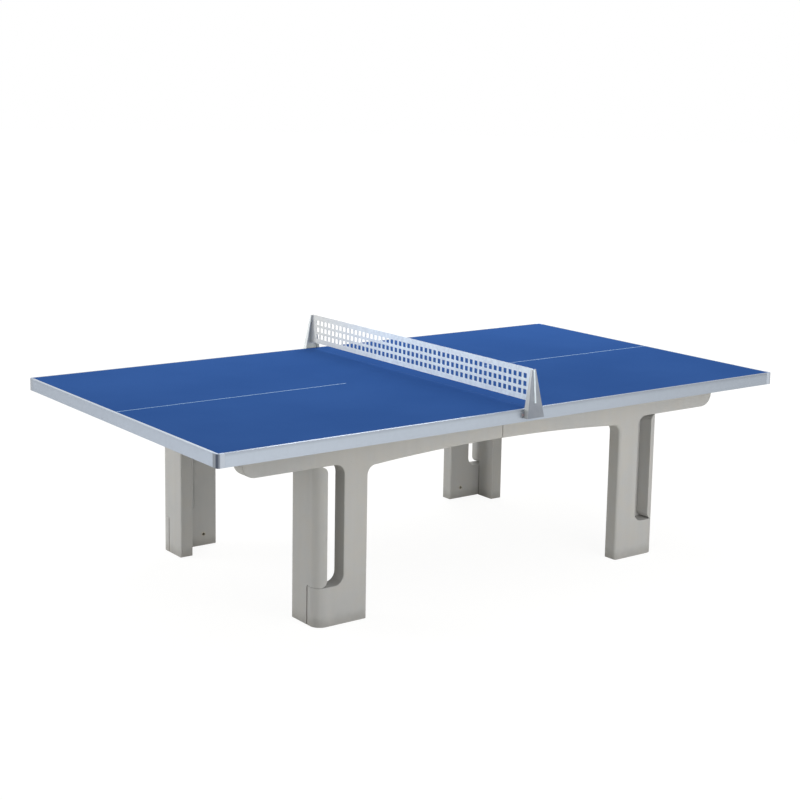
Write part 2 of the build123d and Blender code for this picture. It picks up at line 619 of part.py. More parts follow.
def save_end_pieces():
    """Pieces of which each end of the table has one node."""
    for name, piece in {"slab": slab(), "end_rail": end_rail()}.items():
        for x_name, x_side in X_SIDES.items():
            save(f"{name}_{x_name}", mirrored(piece, x_side, 1))


def save_middle_pieces():
    """Pieces under and at the net, one node for each long side."""
    pieces = {"splice_plate": splice_plate(), "net_bracket": net_bracket(),
              "net_end_bar": net_end_bar()}
    for name, piece in pieces.items():
        for y_name, y_side in Y_SIDES.items():
            save(f"{name}_{y_name}", mirrored(piece, 1, y_side))
    save("net_panel", net_panel())
    save("slab_joint_plate", joint_plate())


def save_fastenings():
    """Groups of identical fastenings, one node for each kind."""
    splice_thickness = SPLICE_PLATE[2]
    plate_thickness = JOINT_PLATE[2]
    tie_seat = PLATE_EDGE_Y + TIE_COUNTERBORE
    splice_bolt = hex_bolt(FRAME_BOLT, bolt_length(splice_thickness))
    angle_bolt = hex_bolt(FRAME_BOLT, bolt_length(ANGLE_WALL))
    tie_bolt = hex_bolt(FRAME_BOLT, bolt_length(BACK_Y - tie_seat))
    angle_screw = hex_bolt(SLAB_SCREW, slab_screw_length(ANGLE_WALL))
    joint_screw = hex_bolt(SLAB_SCREW, slab_screw_length(plate_thickness))
    rail_screw = pan_screw(RAIL_SCREW, RAIL_SCREW_LENGTH)
    bracket_screw = pan_screw(BRACKET_SCREW, BRACKET_SCREW_LENGTH)
    tie_plug = rod(RECESS_DIAMETER - 2 * CAST_FIT, TIE_PLUG_DEPTH)
    under_angle = SLAB_BOTTOM - ANGLE_WALL
    socket_places = SPLICE_PLACES + ANGLE_PLACES + TIE_PLACES
    groups = {
        "frame_sockets": [place * FRAME_SOCKET for place in socket_places],
        "ground_sockets": [GROUND_PLACE * FRAME_SOCKET],
        "slab_sockets": [p * SLAB_SOCKET for p in ANGLE_SLAB_PLACES + [JOINT_PLACE]],
        "edge_sockets": [into_edge(BRACKET_SCREW_X, FLANGE_MIDDLE, HALF_WIDTH - SLAB_EDGE_INSET)
                         * EDGE_SOCKET],
        "splice_bolts": [into_frame(x, BEAM_MIDDLE, BACK_Y - splice_thickness) * splice_bolt
                         for x in SPLICE_BOLT_X],
        "angle_bolts": [into_frame(x, ANGLE_BOLT_Z, BACK_Y - ANGLE_WALL) * angle_bolt
                        for x in ANGLE_X],
        "tie_bolts": [into_frame(PLATE_MIDDLE, z, tie_seat) * tie_bolt
                      for z in (TIE_LOW_Z, BEAM_MIDDLE)],
        "tie_plugs": [into_frame(PLATE_MIDDLE, z, PLATE_EDGE_Y) * tie_plug
                      for z in (TIE_LOW_Z, BEAM_MIDDLE)],
        "angle_screws": [into_slab(x, ANGLE_SLAB_Y, under_angle) * angle_screw
                         for x in ANGLE_X],
        "joint_screws": [into_slab(JOINT_SCREW_X, JOINT_SCREW_Y, SLAB_BOTTOM - plate_thickness)
                         * joint_screw],
        "bracket_screws": [into_edge(BRACKET_SCREW_X, FLANGE_MIDDLE, HALF_WIDTH + FLANGE_SHEET)
                           * bracket_screw],
    }
    for name, shapes in groups.items():
        save(name, all_quarters(shapes))
    under_shelf = SLAB_BOTTOM - RAIL_WALL
    rail_screws = [mirrored(into_slab(x, y, under_shelf) * rail_screw, x_side, 1)
                   for x, y in RAIL_SCREW_POINTS for x_side in X_SIDES.values()]
    save("rail_screws", Compound(children=rail_screws))


os.makedirs("parts", exist_ok=True)
save_quarter_pieces()
save_end_pieces()
save_middle_pieces()
save_fastenings()
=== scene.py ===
"""Finishes, painted lines, welds, light and camera of an outdoor table tennis table.

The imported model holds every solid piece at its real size. This script gives those
pieces their finishes, adds the thin things that the solids leave out, and stands the
table in a plain bright room. Lengths are metres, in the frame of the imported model.
"""
import logging
import math
from abc import ABC, abstractmethod
from collections.abc import Iterator
from dataclasses import dataclass
from enum import Enum

import bmesh
import bpy
from mathutils import Color, Matrix, Vector


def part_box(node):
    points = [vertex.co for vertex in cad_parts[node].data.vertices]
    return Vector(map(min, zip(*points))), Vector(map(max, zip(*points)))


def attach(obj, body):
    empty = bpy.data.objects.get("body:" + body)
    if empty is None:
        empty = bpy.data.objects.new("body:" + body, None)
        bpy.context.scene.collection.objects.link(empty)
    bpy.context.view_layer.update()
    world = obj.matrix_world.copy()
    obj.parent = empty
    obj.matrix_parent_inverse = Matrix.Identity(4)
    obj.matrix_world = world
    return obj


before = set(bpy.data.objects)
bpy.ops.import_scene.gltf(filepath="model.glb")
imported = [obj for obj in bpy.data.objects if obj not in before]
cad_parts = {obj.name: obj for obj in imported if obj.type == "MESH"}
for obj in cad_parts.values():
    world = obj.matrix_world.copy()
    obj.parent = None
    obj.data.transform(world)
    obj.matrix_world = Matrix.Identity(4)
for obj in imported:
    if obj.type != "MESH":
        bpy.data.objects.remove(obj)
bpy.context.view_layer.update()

LOG = logging.getLogger("table")
SMOOTH_ANGLE = math.radians(40)  # sharper edges are shaded as edges
Colour = tuple[float, float, float, float]
Triple = tuple[float, float, float]
FULL_LEVEL = 255
WHITE: Colour = (1.0, 1.0, 1.0, 1.0)


def display(red: float, green: float, blue: float) -> Colour:
    """Give the linear colour that a screen shows at three levels.

    Args:
        red: Level between 0 and 255.
        green: Level between 0 and 255.
        blue: Level between 0 and 255.

    Returns:
        The colour in scene units, with a full alpha.
    """
    levels = Color((red / FULL_LEVEL, green / FULL_LEVEL, blue / FULL_LEVEL))
    return (*levels.from_srgb_to_scene_linear(), 1.0)


# ------------------------------------------------------------------ shader maths
class Value:
    """A node's output that takes part in Python expressions."""

    def __init__(self, graph: "Graph", socket: bpy.types.NodeSocket) -> None:
        """Hold a socket and the graph that its node belongs to."""
        self.graph = graph
        self.socket = socket

    def __add__(self, other: "Operand") -> "Value":
        """Add a number or another value."""
        return self.graph.maths("ADD", self, other)

    def __radd__(self, other: float) -> "Value":
        """Add this value to a number."""
        return self.graph.maths("ADD", other, self)

    def __sub__(self, other: "Operand") -> "Value":
        """Take a number or another value away."""
        return self.graph.maths("SUBTRACT", self, other)

    def __rsub__(self, other: float) -> "Value":
        """Take this value away from a number."""
        return self.graph.maths("SUBTRACT", other, self)

    def __mul__(self, other: "Operand") -> "Value":
        """Multiply by a number or another value."""
        return self.graph.maths("MULTIPLY", self, other)

    def __rmul__(self, other: float) -> "Value":
        """Multiply a number by this value."""
        return self.graph.maths("MULTIPLY", other, self)

    def __pow__(self, other: "Operand") -> "Value":
        """Raise to a power."""
        return self.graph.maths("POWER", self, other)

    def __abs__(self) -> "Value":
        """Drop the sign."""
        return self.graph.maths("ABSOLUTE", self)

    def rise(self, low: float, high: float) -> "Value":
        """Run smoothly from 0 at a low bound to 1 at a high bound.

        Args:
            low: Value at and below which the result is 0.
            high: Value at and above which the result is 1.

        Returns:
            The smoothed share between the bounds.
        """
        settings = {"interpolation_type": "SMOOTHSTEP"}
        return self.graph.add("ShaderNodeMapRange", settings,
                              {"Value": self, "From Min": low, "From Max": high})

    def fall(self, low: float, high: float) -> "Value":
        """Run smoothly from 1 at a low bound to 0 at a high bound."""
        return 1 - self.rise(low, high)

    def larger(self, other: "Operand") -> "Value":
        """Keep the larger of two values."""
        return self.graph.maths("MAXIMUM", self, other)


Operand = Value | float
Given = Value | float | Triple | Colour


class Graph:
    """Node tree of a material or of the world, filled by expressions."""

    def __init__(self, tree: bpy.types.NodeTree) -> None:
        """Empty a node tree and take it over."""
        tree.nodes.clear()
        self.tree = tree

    def add(self, kind: str, settings: dict[str, str] | None = None,
            inputs: dict[str | int, Given] | None = None, output: str | int = 0) -> Value:
        """Create a node and take one of its outputs.

        Args:
            kind: Type of the node.
            settings: Choices of the node, by name.
            inputs: Constants or values for its sockets, by name, identifier or place.
            output: Name, identifier or place of the output that is wanted.

        Returns:
            The wanted output.
        """
        node = self.node(kind, settings or {}, inputs or {})
        return Value(self, self._find(node.outputs, output))

    def node(self, kind: str, settings: dict[str, str],
             inputs: dict[str | int, Given]) -> bpy.types.Node:
        """Create a node, set it up and connect its inputs.

        Args:
            kind: Type of the node.
            settings: Choices of the node, by name.
            inputs: Constants or values for its sockets, by name, identifier or place.

        Returns:
            The node.
        """
        node = self.tree.nodes.new(kind)
        for name, setting in settings.items():
            setattr(node, name, setting)
        for key, given in inputs.items():
            socket = self._find(node.inputs, key)
            if isinstance(given, Value):
                self.tree.links.new(given.socket, socket)
            else:
                socket.default_value = given
        return node

    @staticmethod
    def _find(sockets: bpy.types.bpy_prop_collection, key: str | int) -> bpy.types.NodeSocket:
        """Find one of a node's sockets.

        Args:
            sockets: Inputs or outputs of the node.
            key: Place, identifier or name of the socket, tried in that order.

        Returns:
            The socket.
        """
        if isinstance(key, int):
            return sockets[key]
        named = [s for s in sockets if s.identifier == key]
        return named[0] if named else sockets[key]

    def maths(self, operation: str, *values: Operand) -> Value:
        """Work out a named operation on one or two numbers."""
        return self.add("ShaderNodeMath", {"operation": operation}, dict(enumerate(values)))

    def place(self) -> Value:
        """Give the point on the piece, in metres."""
        return self.add("ShaderNodeTexCoord", output="Object")

    def facing(self) -> Value:
        """Give the direction that the surface faces."""
        return self.add("ShaderNodeTexCoord", output="Normal")

    def part(self, vector: Value, axis: str) -> Value:
        """Take the X, Y or Z part of a vector, or of a colour's channels."""
        return self.add("ShaderNodeSeparateXYZ", inputs={"Vector": vector}, output=axis)

    def stretched(self, vector: Value, scale: Triple) -> Value:
        """Stretch a pattern of scale 1 to its patches to a metre along X, Y and Z."""
        return self.add("ShaderNodeMapping", {"vector_type": "POINT"},
                        {"Vector": vector, "Scale": scale})

    def noise(self, vector: Value, scale: float, detail: float = 3.0,
              roughness: float = 0.5, distortion: float = 0.0) -> Value:
        """Give soft noise about 0, mostly between -0.25 and 0.25.

        Args:
            vector: Point that the noise is read at.
            scale: Patches to a metre.
            detail: Number of finer layers.
            roughness: Weight of the finer layers.
            distortion: How far the patches are pulled about.

        Returns:
            The noise.
        """
        inputs = {"Vector": vector, "Scale": scale, "Detail": detail,
                  "Roughness": roughness, "Distortion": distortion}
        return self.add("ShaderNodeTexNoise", inputs=inputs) - 0.5

    def cells(self, vector: Value, scale: float, output: str = "Distance") -> Value:
        """Give the Distance to the nearest of scattered points, or its random Color."""
        inputs = {"Vector": vector, "Scale": scale}
        return self.add("ShaderNodeTexVoronoi", inputs=inputs, output=output)

    def specks(self, vector: Value, scale: float, share: float, size: float) -> Value:
        """Give sparse round spots of varied size.

        Args:
            vector: Point that the spots are read at.
            scale: Cells to a metre, each with one spot at most.
            share: Share of the cells that hold a spot.
            size: Radius of the largest spot, in cells.

        Returns:
            1 in the middle of a spot and 0 outside.
        """
        random = self.part(self.cells(vector, scale, "Color"), "X")
        radius = (random - (1 - share)) * (size / share)
        return (radius - self.cells(vector, scale)).rise(0.0, size / 3)

    def blended(self, share: Given, first: Given, second: Given) -> Value:
        """Mix two colours by the share of the second."""
        return self._mix("MIX", share, first, second)

    def shaded(self, colour: Given, level: Operand) -> Value:
        """Scale the brightness of a colour by a level, where 1 changes nothing."""
        return self._mix("MULTIPLY", 1.0, colour, level)

    def _mix(self, mode: str, share: Given, first: Given, second: Given) -> Value:
        """Combine two colours.

        Args:
            mode: Name of the way they combine.
            share: How far the combination goes, from 0 for the first colour to 1.
            first: First colour.
            second: Second colour.

        Returns:
            The combined colour.
        """
        settings = {"data_type": "RGBA", "blend_type": mode}
        inputs = {"Factor_Float": share, "A_Color": first, "B_Color": second}
        return self.add("ShaderNodeMix", settings, inputs, "Result_Color")

    def relief(self, height: Value, depth: float) -> Value:
        """Give the surface direction over a relief, whose height of 1 is a depth in metres."""
        return self.add("ShaderNodeBump", inputs={"Height": height, "Distance": depth})

    def eye_rays(self) -> tuple[Value, Value]:
        """Tell the rays that reach the eye from those that only bring light.

        Returns:
            1 for rays straight from the camera, and 1 for those and for mirrored and
            refracted ones.
        """
        camera = self.add("ShaderNodeLightPath", output="Is Camera Ray")
        glossy = self.add("ShaderNodeLightPath", output="Is Glossy Ray")
        clear = self.add("ShaderNodeLightPath", output="Is Transmission Ray")
        return camera, camera.larger(glossy).larger(clear)

    def surface(self, inputs: dict[str | int, Given]) -> None:
        """End the graph of a material in a surface shader with these inputs."""
        self.end_in(self.add("ShaderNodeBsdfPrincipled", inputs=inputs))

    def end_in(self, shader: Value, kind: str = "ShaderNodeOutputMaterial") -> None:
        """End the graph of a material, or of the world, in a shader."""
        self.node(kind, {}, {"Surface": shader})


# --------------------------------------------------------------------- finishes
class Grain(Enum):
    """Direction of the fine lines that drawing or brushing leaves in metal."""

    ALONG_TABLE = (3.0, 900.0, 900.0)
    ACROSS_TABLE = (900.0, 3.0, 900.0)
    UPRIGHT = (700.0, 700.0, 6.0)


@dataclass(frozen=True)
class Finish(ABC):
    """Finish of a surface, made into a material once and then shared."""

    name: str

    def material(self) -> bpy.types.Material:
        """Give the material of this finish, and make it if it isn't there yet.

        Returns:
            The material.
        """
        label = f"finish_{self.name}"
        made = bpy.data.materials.get(label)
        if made is None:
            made = bpy.data.materials.new(label)
            made.use_nodes = True
            self.paint(Graph(made.node_tree))
        return made

    @abstractmethod
    def paint(self, graph: Graph) -> None:
        """Fill the graph of the material."""


@dataclass(frozen=True)
class CastConcrete(Finish):
    """Fair-faced concrete, cast in smooth moulds, with a few air holes."""

    name: str = "cast_concrete"
    body: Colour = display(182, 182, 181)
    warm: Colour = display(181, 179, 175)
    # painted highlight: paler colour of the rounded edges, where light catches them
    edge: Colour = display(196, 196, 194)
    grime: Colour = display(118, 112, 102)
    # dirt and painted shade in the joint between a toe and its end plate
    joint_dirt_and_shade: Colour = display(96, 86, 82)
    splash_height: float = 0.05
    splash_wave: float = 0.05
    run_grain: Triple = (30.0, 30.0, 1.4)
    splash_dirt: float = 0.30
    hole_dirt: float = 0.75
    pinhole_share: float = 0.6  # dirt of a pinhole against that of an air hole
    edge_highlight: float = 0.3
    toe_height: float = 0.150
    toe_fade: float = 0.010
    half_joint: float = 0.0005  # half the gap between toe and end plate
    joint_mark_core: float = 0.001
    joint_mark_reach: float = 0.006
    joint_mark_wander: float = 0.002
    joint_mark_share: float = 0.85
    roughness: float = 0.80
    specular: float = 0.3
    relief_depth: float = 0.0006

    def paint(self, graph: Graph) -> None:
        """Fill the graph with clouds, runs, fine sand, air holes, splashed feet, painted
        highlights on rounded edges, and dirt and painted shade in the toe joints.

        Args:
            graph: Graph of the material.
        """
        place = graph.place()
        facing = graph.facing()
        clouds = graph.noise(place, scale=2.6, detail=5.0, roughness=0.55, distortion=0.4)
        blots = graph.noise(place, scale=17.0, detail=4.0, roughness=0.6)
        sand = graph.noise(place, scale=700.0, detail=2.0, roughness=0.7)
        runs = graph.noise(graph.stretched(place, self.run_grain), scale=1.0, detail=3.0)
        holes = graph.specks(place, scale=46.0, share=0.10, size=0.085)
        pinholes = graph.specks(place, scale=190.0, share=0.16, size=0.20)
        sideways = abs(graph.part(facing, "Y"))
        # painted highlight: rounded edges that turn partly to the front or back take the paler
        # edge colour
        rounded = sideways.rise(0.10, 0.45) * sideways.fall(0.80, 0.985)
        upright = abs(graph.part(facing, "Z")).fall(0.3, 0.8)
        height = graph.part(place, "Z") + blots * self.splash_wave
        splash = height.fall(0.0, self.splash_height) * upright
        tone = 1.0 + clouds * 0.20 + blots * 0.10 + sand * 0.10 + runs * upright * 0.10
        colour = graph.blended((clouds + blots).rise(-0.2, 0.3), self.body, self.warm)
        colour = graph.blended(rounded * self.edge_highlight, colour, self.edge)
        colour = graph.blended(splash * self.splash_dirt, colour, self.grime)
        hollows = holes.larger(pinholes * self.pinhole_share)
        colour = graph.blended(hollows * self.hole_dirt, colour, self.grime)
        colour = graph.blended(self._joint_mark(graph, place, facing), colour, self.joint_dirt_and_shade)
        relief = sand * 0.25 + blots * 0.5 - holes * 1.6 - pinholes * 0.5
        graph.surface({
            "Base Color": graph.shaded(colour, tone),
            "Roughness": self.roughness + sand * 0.25 + clouds * 0.15,
            "Specular IOR Level": self.specular,
            "Normal": graph.relief(relief, self.relief_depth),
        })

    def _joint_mark(self, graph: Graph, place: Value, facing: Value) -> Value:
        """Give the dirt and painted shade in the joint between a toe and its end plate.

        Args:
            graph: Graph of the material.
            place: Point on the casting.
            facing: Direction that its surface faces.

        Returns:
            Share of dirt and painted shade over the clean concrete.
        """
        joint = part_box("side_frame_rear_left")[0].y - self.half_joint
        wander = graph.noise(place, scale=60.0) * self.joint_mark_wander
        from_joint = abs(abs(graph.part(place, "Y")) - joint) + wander
        toe_fade_start = self.toe_height - self.toe_fade
        below_top = graph.part(place, "Z").fall(toe_fade_start, self.toe_height)
        outside = abs(graph.part(facing, "X")).rise(0.7, 0.95)
        near_joint = from_joint.fall(self.joint_mark_core, self.joint_mark_reach)
        return near_joint * below_top * outside * self.joint_mark_share


@dataclass(frozen=True)
class CoatedSlab(Finish):
    """Blue playing coat on top of a grey mineral slab."""

    name: str = "coated_slab"
    coat: Colour = display(56, 95, 162)
    coat_light: Colour = display(61, 101, 169)
    dust: Colour = display(120, 140, 170)
    raw: Colour = display(150, 149, 146)
    coat_line: float = -0.004  # down to here the coat wraps over the slab's edges
    play_marks: Triple = (14.0, 3.0, 1.0)
    scuff_dust: float = 0.10
    speck_dust: float = 0.25
    roughness: float = 0.56
    raw_roughness: float = 0.3  # added where the slab is raw
    relief_depth: float = 0.00012

    def paint(self, graph: Graph) -> None:
        """Fill the graph with the fine-grained coat, faint marks of play and the raw slab.

        Args:
            graph: Graph of the material.
        """
        place = graph.place()
        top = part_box("slab_left")[1].z
        clouds = graph.noise(place, scale=1.7, detail=4.0, roughness=0.5)
        grit = graph.noise(place, scale=1100.0, detail=2.0, roughness=0.8)
        peel = graph.noise(place, scale=260.0, detail=2.0)
        marks = graph.noise(graph.stretched(place, self.play_marks), scale=1.0, detail=6.0,
                            roughness=0.7, distortion=1.2)
        scuffs = marks.rise(0.17, 0.30) * graph.noise(place, scale=60.0).rise(0.0, 0.25)
        specks = graph.specks(place, scale=75.0, share=0.05, size=0.06)
        coated = (graph.part(place, "Z") - top).rise(self.coat_line, self.coat_line / 2)
        colour = graph.blended((clouds + peel * 0.2).rise(-0.25, 0.25), self.coat, self.coat_light)
        dusty = scuffs * self.scuff_dust + specks * self.speck_dust
        colour = graph.blended(dusty, colour, self.dust)
        flecks = graph.noise(place, scale=90.0, detail=5.0, roughness=0.7)
        mineral = graph.shaded(self.raw, 1.0 + flecks * 0.5)
        colour = graph.blended(coated, mineral, graph.shaded(colour, 1.0 + grit * 0.14))
        rough = self.roughness + clouds * 0.10 + grit * 0.10 + scuffs * 0.12
        graph.surface({
            "Base Color": colour,
            "Roughness": (1 - coated) * self.raw_roughness + rough,
            "Specular IOR Level": 0.0,
            "Normal": graph.relief(peel * 0.5 + grit * 0.5, self.relief_depth),
        })


@dataclass(frozen=True)
class JointSeal(Finish):
    """Soft sealing compound in the blue of the playing coat."""

    name: str = "joint_seal"
    body: Colour = display(54, 92, 158)
    dusty: Colour = display(72, 106, 164)
    dust_share: float = 0.5
    roughness: float = 0.62
    specular: float = 0.1
    relief_depth: float = 0.0001

    def paint(self, graph: Graph) -> None:
        """Fill the graph with smoothed compound that holds some dust.

        Args:
            graph: Graph of the material.
        """
        place = graph.place()
        dust = graph.noise(place, scale=120.0, detail=5.0, roughness=0.7)
        wave = graph.noise(place, scale=300.0, detail=3.0)
        held = dust.rise(0.0, 0.3) * self.dust_share
        graph.surface({
            "Base Color": graph.blended(held, self.body, self.dusty),
            "Roughness": self.roughness + dust * 0.2,
            "Specular IOR Level": self.specular,
            "Normal": graph.relief(wave, self.relief_depth),
        })


@dataclass(frozen=True)
class LinePaint(Finish):
    """White line paint, a little rubbed."""

    name: str = "line_paint"
    paint_white: Colour = display(184, 220, 255)
    rubbed: Colour = display(140, 176, 215)
    rub_share: float = 0.3
    roughness: float = 0.6
    specular: float = 0.2
    relief_depth: float = 0.0001

    def paint(self, graph: Graph) -> None:
        """Fill the graph with brushed white that thins in places.

        Args:
            graph: Graph of the material.
        """
        place = graph.place()
        rub = graph.noise(place, scale=90.0, detail=5.0, roughness=0.7).rise(0.02, 0.30)
        grain = graph.noise(place, scale=900.0, detail=2.0, roughness=0.8)
        graph.surface({
            "Base Color": graph.blended(rub * self.rub_share, self.paint_white, self.rubbed),
            "Roughness": self.roughness + grain * 0.3,
            "Specular IOR Level": self.specular,
            "Normal": graph.relief(grain, self.relief_depth),
        })


@dataclass(frozen=True)
class DrawnAluminium(Finish):
    """Anodised aluminium with the fine lines that the die leaves along it."""

    name: str = "rail_long"
    grain: Grain = Grain.ALONG_TABLE
    body: Colour = display(168, 176, 186)
    # colour of the upward faces: polished by hands, and partly painted light
    rubbed: Colour = display(140, 152, 170)
    dull: Colour = display(152, 159, 168)
    rub_share: float = 0.85
    smear_share: float = 0.2
    fade: float = 0.10  # painted light: brightness lost over a metre, away from the front left-hand corner
    top_dimming: float = 0.22  # brightness taken off along the top of the faces
    top_dimming_depth: float = 0.016
    scratch_grain: Triple = (60.0, 60.0, 900.0)
    metallic: float = 0.92
    roughness: float = 0.42
    polish: float = 0.20  # roughness that hands have taken off the upper edges
    relief_depth: float = 0.00006

    def paint(self, graph: Graph) -> None:
        """Fill the graph with drawn lines, uneven anodising, and polished upper edges whose colour
        is partly painted light.

        Painted light makes the rails a little paler towards the table's front
        left-hand corner, and their faces are darker along the top.

        Args:
            graph: Graph of the material.
        """
        place = graph.place()
        drawn = graph.stretched(place, self.grain.value)
        lines = graph.noise(drawn, scale=1.0, detail=4.0, roughness=0.7)
        bands = graph.noise(drawn, scale=0.08, detail=2.0)
        clouds = graph.noise(place, scale=3.0, detail=3.0, roughness=0.5)
        smears = graph.noise(place, scale=38.0, detail=5.0, roughness=0.65, distortion=0.8)
        fine = graph.noise(graph.stretched(place, self.scratch_grain), scale=1.0, detail=2.0)
        scratches = fine.rise(0.24, 0.3)
        upwards = graph.part(graph.facing(), "Z").rise(0.25, 0.9)
        smeared = smears.rise(-0.1, 0.35) * self.smear_share
        colour = graph.blended(smeared, self.body, self.dull)
        # upward faces take the rubbed colour, partly painted light
        colour = graph.blended(upwards * self.rub_share, colour, self.rubbed)
        tone = 1.0 + lines * 0.12 + bands * 0.06 + clouds * 0.08 + scratches * 0.04
        along = "X" if self.grain is Grain.ALONG_TABLE else "Y"
        # painted light: paler towards the front left-hand corner
        tone = tone - graph.part(place, along) * self.fade
        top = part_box("long_rail_front_left")[1].z
        # darker along the top of the faces, except upward ones
        below = (top - graph.part(place, "Z")).rise(0.0, self.top_dimming_depth)
        tone = tone * (1 - self.top_dimming * (1 - below) * (1 - upwards))
        graph.surface({
            "Base Color": graph.shaded(colour, tone),
            "Metallic": self.metallic,
            "Roughness": self.roughness - upwards * self.polish + lines * 0.14 + smears * 0.10,
            "Normal": graph.relief(lines * 0.7 + scratches * 0.3, self.relief_depth),
        })


@dataclass(frozen=True)
class CornerCasting(Finish):
    """Cast aluminium corner, tumbled smooth, with a painted dark reflection on its round edge and
    painted light and shade on its faces.
    """

    name: str = "corner_front"
    body: Colour = display(181, 188, 197)
    # painted shade: colour of the sides that face the table's end
    flank: Colour = display(134, 140, 148)
    # painted reflection: dark colour of the round edge
    dark_reflection: Colour = display(79, 86, 99)
    # painted light: colour of the upward faces
    lip: Colour = display(168, 180, 198)
    dark_reflection_least: float = 0.55  # share of the painted dark reflection towards the long side
    metallic: float = 0.9
    roughness: float = 0.45
    relief_depth: float = 0.00015

    def paint(self, graph: Graph) -> None:
        """Fill the graph with a fine cast skin, a painted dark reflection round the edge, painted
        shade on the end-facing sides and painted light on top.

        Args:
            graph: Graph of the material.
        """
        place = graph.place()
        facing = graph.facing()
        skin = graph.noise(place, scale=420.0, detail=4.0, roughness=0.7)
        clouds = graph.noise(place, scale=40.0, detail=4.0, roughness=0.6)
        endways = abs(graph.part(facing, "X"))
        dark_reflection = (endways * abs(graph.part(facing, "Y"))).rise(0.0, 0.14)
        dark_reflection = dark_reflection * (self.dark_reflection_least + (1 - self.dark_reflection_least) * endways.rise(0.2, 0.8))
        upwards = graph.part(facing, "Z").rise(0.3, 0.9)
        colour = graph.blended(endways.rise(0.5, 0.9), self.body, self.flank)
        colour = graph.blended(dark_reflection, colour, self.dark_reflection)
        colour = graph.blended(upwards, colour, self.lip)
        graph.surface({
            "Base Color": graph.shaded(colour, 1.0 + skin * 0.12 + clouds * 0.10),
            "Metallic": self.metallic,
            "Roughness": self.roughness + skin * 0.20 + clouds * 0.12,
            "Normal": graph.relief(skin, self.relief_depth),
        })


@dataclass(frozen=True)
class ZincCoat(Finish):
    """Hot-dip zinc on steel: faint crystals, pale bloom and a few runs."""

    name: str = "net_zinc"
    body: Colour = display(234, 245, 252)
    dark: Colour = display(221, 232, 242)
    bloom: Colour = display(240, 248, 254)
    # painted shade: duller grey towards the rear edge of the table
    rear_shade: Colour = display(208, 209, 206)
    bloom_share: float = 0.4
    rear_shade_share: float = 1.0
    rear_shade_start: float = 0.10  # behind the middle of the table
    run_grain: Triple = (160.0, 160.0, 9.0)
    metallic: float = 0.06
    roughness: float = 0.50
    relief_depth: float = 0.00012

    def paint(self, graph: Graph) -> None:
        """Fill the graph with crystals, bloom and the soft relief of the dipped coat.

        Painted shade makes the net duller and greyer towards the rear edge of the table.

        Args:
            graph: Graph of the material.
        """
        place = graph.place()
        crystals = graph.part(graph.cells(place, scale=95.0, output="Color"), "X") - 0.5
        ripple = graph.noise(place, scale=120.0, detail=3.0, roughness=0.5)
        clouds = graph.noise(place, scale=9.0, detail=5.0, roughness=0.6, distortion=0.5)
        runs = graph.noise(graph.stretched(place, self.run_grain), scale=1.0, detail=3.0)
        colour = graph.blended((clouds + crystals * 0.2).rise(-0.3, 0.2), self.dark, self.body)
        colour = graph.blended(ripple.rise(0.08, 0.3) * self.bloom_share, colour, self.bloom)
        rearward = graph.part(place, "Y").rise(self.rear_shade_start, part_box("net_panel")[1].y)
        colour = graph.blended(rearward * self.rear_shade_share, colour, self.rear_shade)
        graph.surface({
            "Base Color": graph.shaded(colour, 1.0 + crystals * 0.05 + runs * 0.08),
            "Metallic": self.metallic,
            "Roughness": self.roughness + crystals * 0.12 + clouds * 0.15,
            "Normal": graph.relief(ripple * 0.7 + runs * 0.3, self.relief_depth),
        })


@dataclass(frozen=True)
class BrushedSteel(Finish):
    """Zinc-coated steel with upright brush lines, pale patches, painted highlights and painted
    shade.
    """

    name: str = "screw_steel"
    grain: Grain = Grain.UPRIGHT
    body: Colour = display(176, 182, 190)
    # colour of the pale patches, and of the painted highlights
    pale: Colour = display(214, 218, 223)
    metallic: float = 0.75
    roughness: float = 0.42
    mottle: float = 1.0  # strength of the pale patches
    flank: float = 0.0  # how far sides that face along the table are painted pale, a painted highlight
    foot: float = 1.0  # painted shade: brightness at the foot of a net bracket, against 1 at its top
    relief_depth: float = 0.00006

    def paint(self, graph: Graph) -> None:
        """Fill the graph with brushed lines, pale patches, painted highlights, painted shade
        towards the foot and small pits.

        Args:
            graph: Graph of the material.
        """
        place = graph.place()
        brushed = graph.stretched(place, self.grain.value)
        lines = graph.noise(brushed, scale=1.0, detail=3.0, roughness=0.6)
        clouds = graph.noise(place, scale=22.0, detail=5.0, roughness=0.6, distortion=0.4)
        pits = graph.specks(place, scale=260.0, share=0.10, size=0.16)
        # painted highlights: upward faces, and where asked the sides that face along the table,
        # take the pale colour
        edges = graph.part(graph.facing(), "Z").rise(0.2, 0.8)
        flanks = abs(graph.part(graph.facing(), "X")).rise(0.5, 0.9) * self.flank
        paler = (clouds.rise(-0.2, 0.3) * self.mottle).larger(edges).larger(flanks)
        colour = graph.blended(paler, self.body, self.pale)
        # painted shade: darker towards the foot of a net bracket
        low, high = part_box("net_bracket_front")
        height = graph.part(place, "Z").rise(low.z, high.z)
        tone = self.foot + (1 - self.foot) * height + lines * 0.16 - pits * 0.3
        graph.surface({
            "Base Color": graph.shaded(colour, tone),
            "Metallic": self.metallic,
            "Roughness": self.roughness + lines * 0.14 + clouds * 0.16,
            "Normal": graph.relief(lines - pits * 0.5, self.relief_depth),
        })


